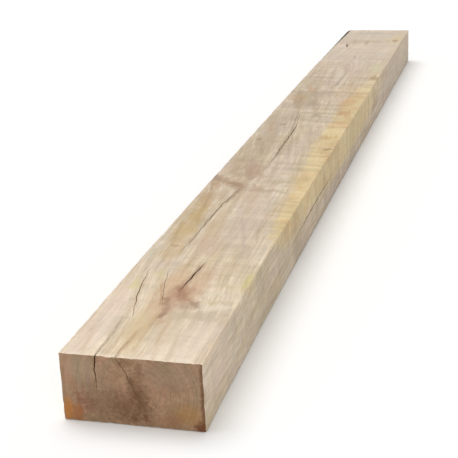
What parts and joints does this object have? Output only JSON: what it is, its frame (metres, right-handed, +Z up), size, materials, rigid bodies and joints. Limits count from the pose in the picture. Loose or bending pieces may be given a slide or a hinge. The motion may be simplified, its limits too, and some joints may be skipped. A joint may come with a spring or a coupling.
{
  "type": "railway sleeper",
  "caption": "New sawn oak railway sleeper: one solid timber beam with square ends, softened arrises and open drying splits in its faces and ends.",
  "frame": {"origin": "middle of the underside, in the plane that the sleeper lies on", "axes": "+Y along the sleeper, toward the far end; +X across it, to the right as seen from the near end at -Y; +Z up from the underside"},
  "size_m": [0.204, 2.4, 0.1],
  "materials": {
    "sawn_oak": "rough sawn, untreated, part dried, with darker end grain"
  },
  "bodies": {
    "root": {"sleeper_beam": "sawn_oak"}
  },
  "joints": []
}
